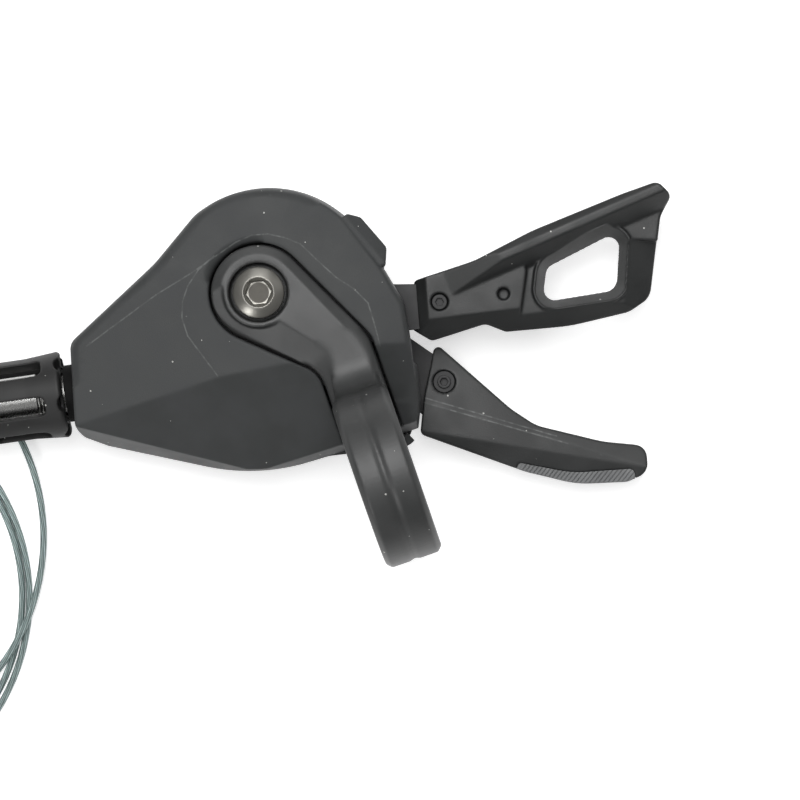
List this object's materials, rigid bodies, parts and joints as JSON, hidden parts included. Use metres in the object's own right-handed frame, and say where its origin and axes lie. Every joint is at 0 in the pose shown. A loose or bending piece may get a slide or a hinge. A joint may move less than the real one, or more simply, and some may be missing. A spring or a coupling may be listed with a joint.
{
  "type": "trigger gear shifter",
  "caption": "Right-hand bicycle trigger shifter: creased housing on a band clamp, push and release levers, winding drum with pawls inside, barrel adjuster and a coiled inner cable.",
  "frame": {"origin": "on the handlebar's axis, in the middle of the clamp band's width", "axes": "+X along the handlebar towards the lever tips, +Y from the bar towards the winding axis, +Z out of the cover face"},
  "size_m": [0.2047, 0.0895, 0.0452],
  "materials": {
    "cover_plastic": "moulded, fine grain",
    "lever_plastic": "moulded, satin",
    "knob_plastic": "moulded, satin",
    "grip_rubber": "matte",
    "band_paint": "satin paint",
    "steel": "plated",
    "black_steel": "black coated",
    "bolt_steel": "plated, bright",
    "spring_steel": "bright wire",
    "brass": "turned",
    "drum_plastic": "moulded acetal",
    "cable_steel": "stranded wire"
  },
  "bodies": {
    "housing": {"upper_cover": "cover_plastic", "lower_cover": "cover_plastic", "base_plate": "steel", "main_axle": "steel", "axle_nut": "steel", "cover_screws": "steel", "clamp_band": "band_paint", "clamp_bolt": "bolt_steel", "release_stud": "steel", "adjuster_insert": "knob_plastic", "inner_wire": "cable_steel", "shift_cable": "cable_steel", "cable_coil": "cable_steel", "drum_spring": "spring_steel", "holding_pawl_spring": "spring_steel", "main_lever_spring": "spring_steel", "release_lever_spring": "spring_steel"},
    "drum": {"cable_drum": "drum_plastic", "drum_bush": "brass", "index_ratchet": "steel", "drive_ratchet": "steel", "cable_head": "brass"},
    "main_lever": {"main_lever_plate": "black_steel", "main_lever_cover": "lever_plastic", "main_lever_grip": "grip_rubber", "main_lever_screw": "black_steel", "drive_pawl_pin": "steel", "drive_pawl_spring": "spring_steel"},
    "drive_pawl": {"drive_pawl": "steel"},
    "holding_pawl": {"holding_pawl": "steel"},
    "release_lever": {"release_lever_plate": "black_steel", "release_lever_cover": "lever_plastic", "release_lever_screw": "black_steel"},
    "adjuster_slider": {"adjuster_click_ring": "knob_plastic", "adjuster_spring": "spring_steel"},
    "adjuster_barrel": {"adjuster_knob": "knob_plastic", "adjuster_bolt": "bolt_steel"}
  },
  "joints": [
    {"name": "drum_turn", "type": "hinge", "parent": "housing", "child": "drum", "pos_m": [-0.0106, 0.0369, -0.01735], "axis": [0, 0, 1], "range_deg": [0, 165], "stiffness_Nm_per_rad": 0.05, "springref_deg": -28.65, "deforming": ["drum_spring"]},
    {"name": "main_lever_swing", "type": "hinge", "parent": "housing", "child": "main_lever", "pos_m": [-0.0106, 0.0369, -0.0237], "axis": [0, 0, 1], "range_deg": [0, 45], "stiffness_Nm_per_rad": 0.5, "springref_deg": -22.92, "deforming": ["main_lever_spring"]},
    {"name": "drive_pawl_swing", "type": "hinge", "parent": "main_lever", "child": "drive_pawl", "pos_m": [-0.01862, 0.02123, -0.0218], "axis": [0, 0, 1], "range_deg": [0, 10], "stiffness_Nm_per_rad": 0.01, "springref_deg": -11.46, "deforming": ["drive_pawl_spring"]},
    {"name": "holding_pawl_swing", "type": "hinge", "parent": "housing", "child": "holding_pawl", "pos_m": [0.00795, 0.02783, -0.0203], "axis": [0, 0, 1], "range_deg": [-10, 0], "stiffness_Nm_per_rad": 0.01, "springref_deg": 11.46, "deforming": ["holding_pawl_spring"]},
    {"name": "release_lever_swing", "type": "hinge", "parent": "housing", "child": "release_lever", "pos_m": [0.00795, 0.02783, -0.0162], "axis": [0, 0, 1], "range_deg": [-12, 12], "stiffness_Nm_per_rad": 0.3, "deforming": ["release_lever_spring"]},
    {"name": "adjuster_travel", "type": "slide", "parent": "housing", "child": "adjuster_slider", "axis": [-0.982, 0.1891, 0], "range_m": [0, 0.004], "deforming": ["adjuster_spring"]},
    {"name": "adjuster_turn", "type": "hinge", "parent": "adjuster_slider", "child": "adjuster_barrel", "pos_m": [-0.04764, 0.0314, -0.0176], "axis": [-0.982, 0.1891, 0], "range_deg": [0, 1440]}
  ],
  "couplings": [
    {"joint": "adjuster_turn", "follows": "adjuster_travel", "rad_per_m": 6283.1}
  ]
}
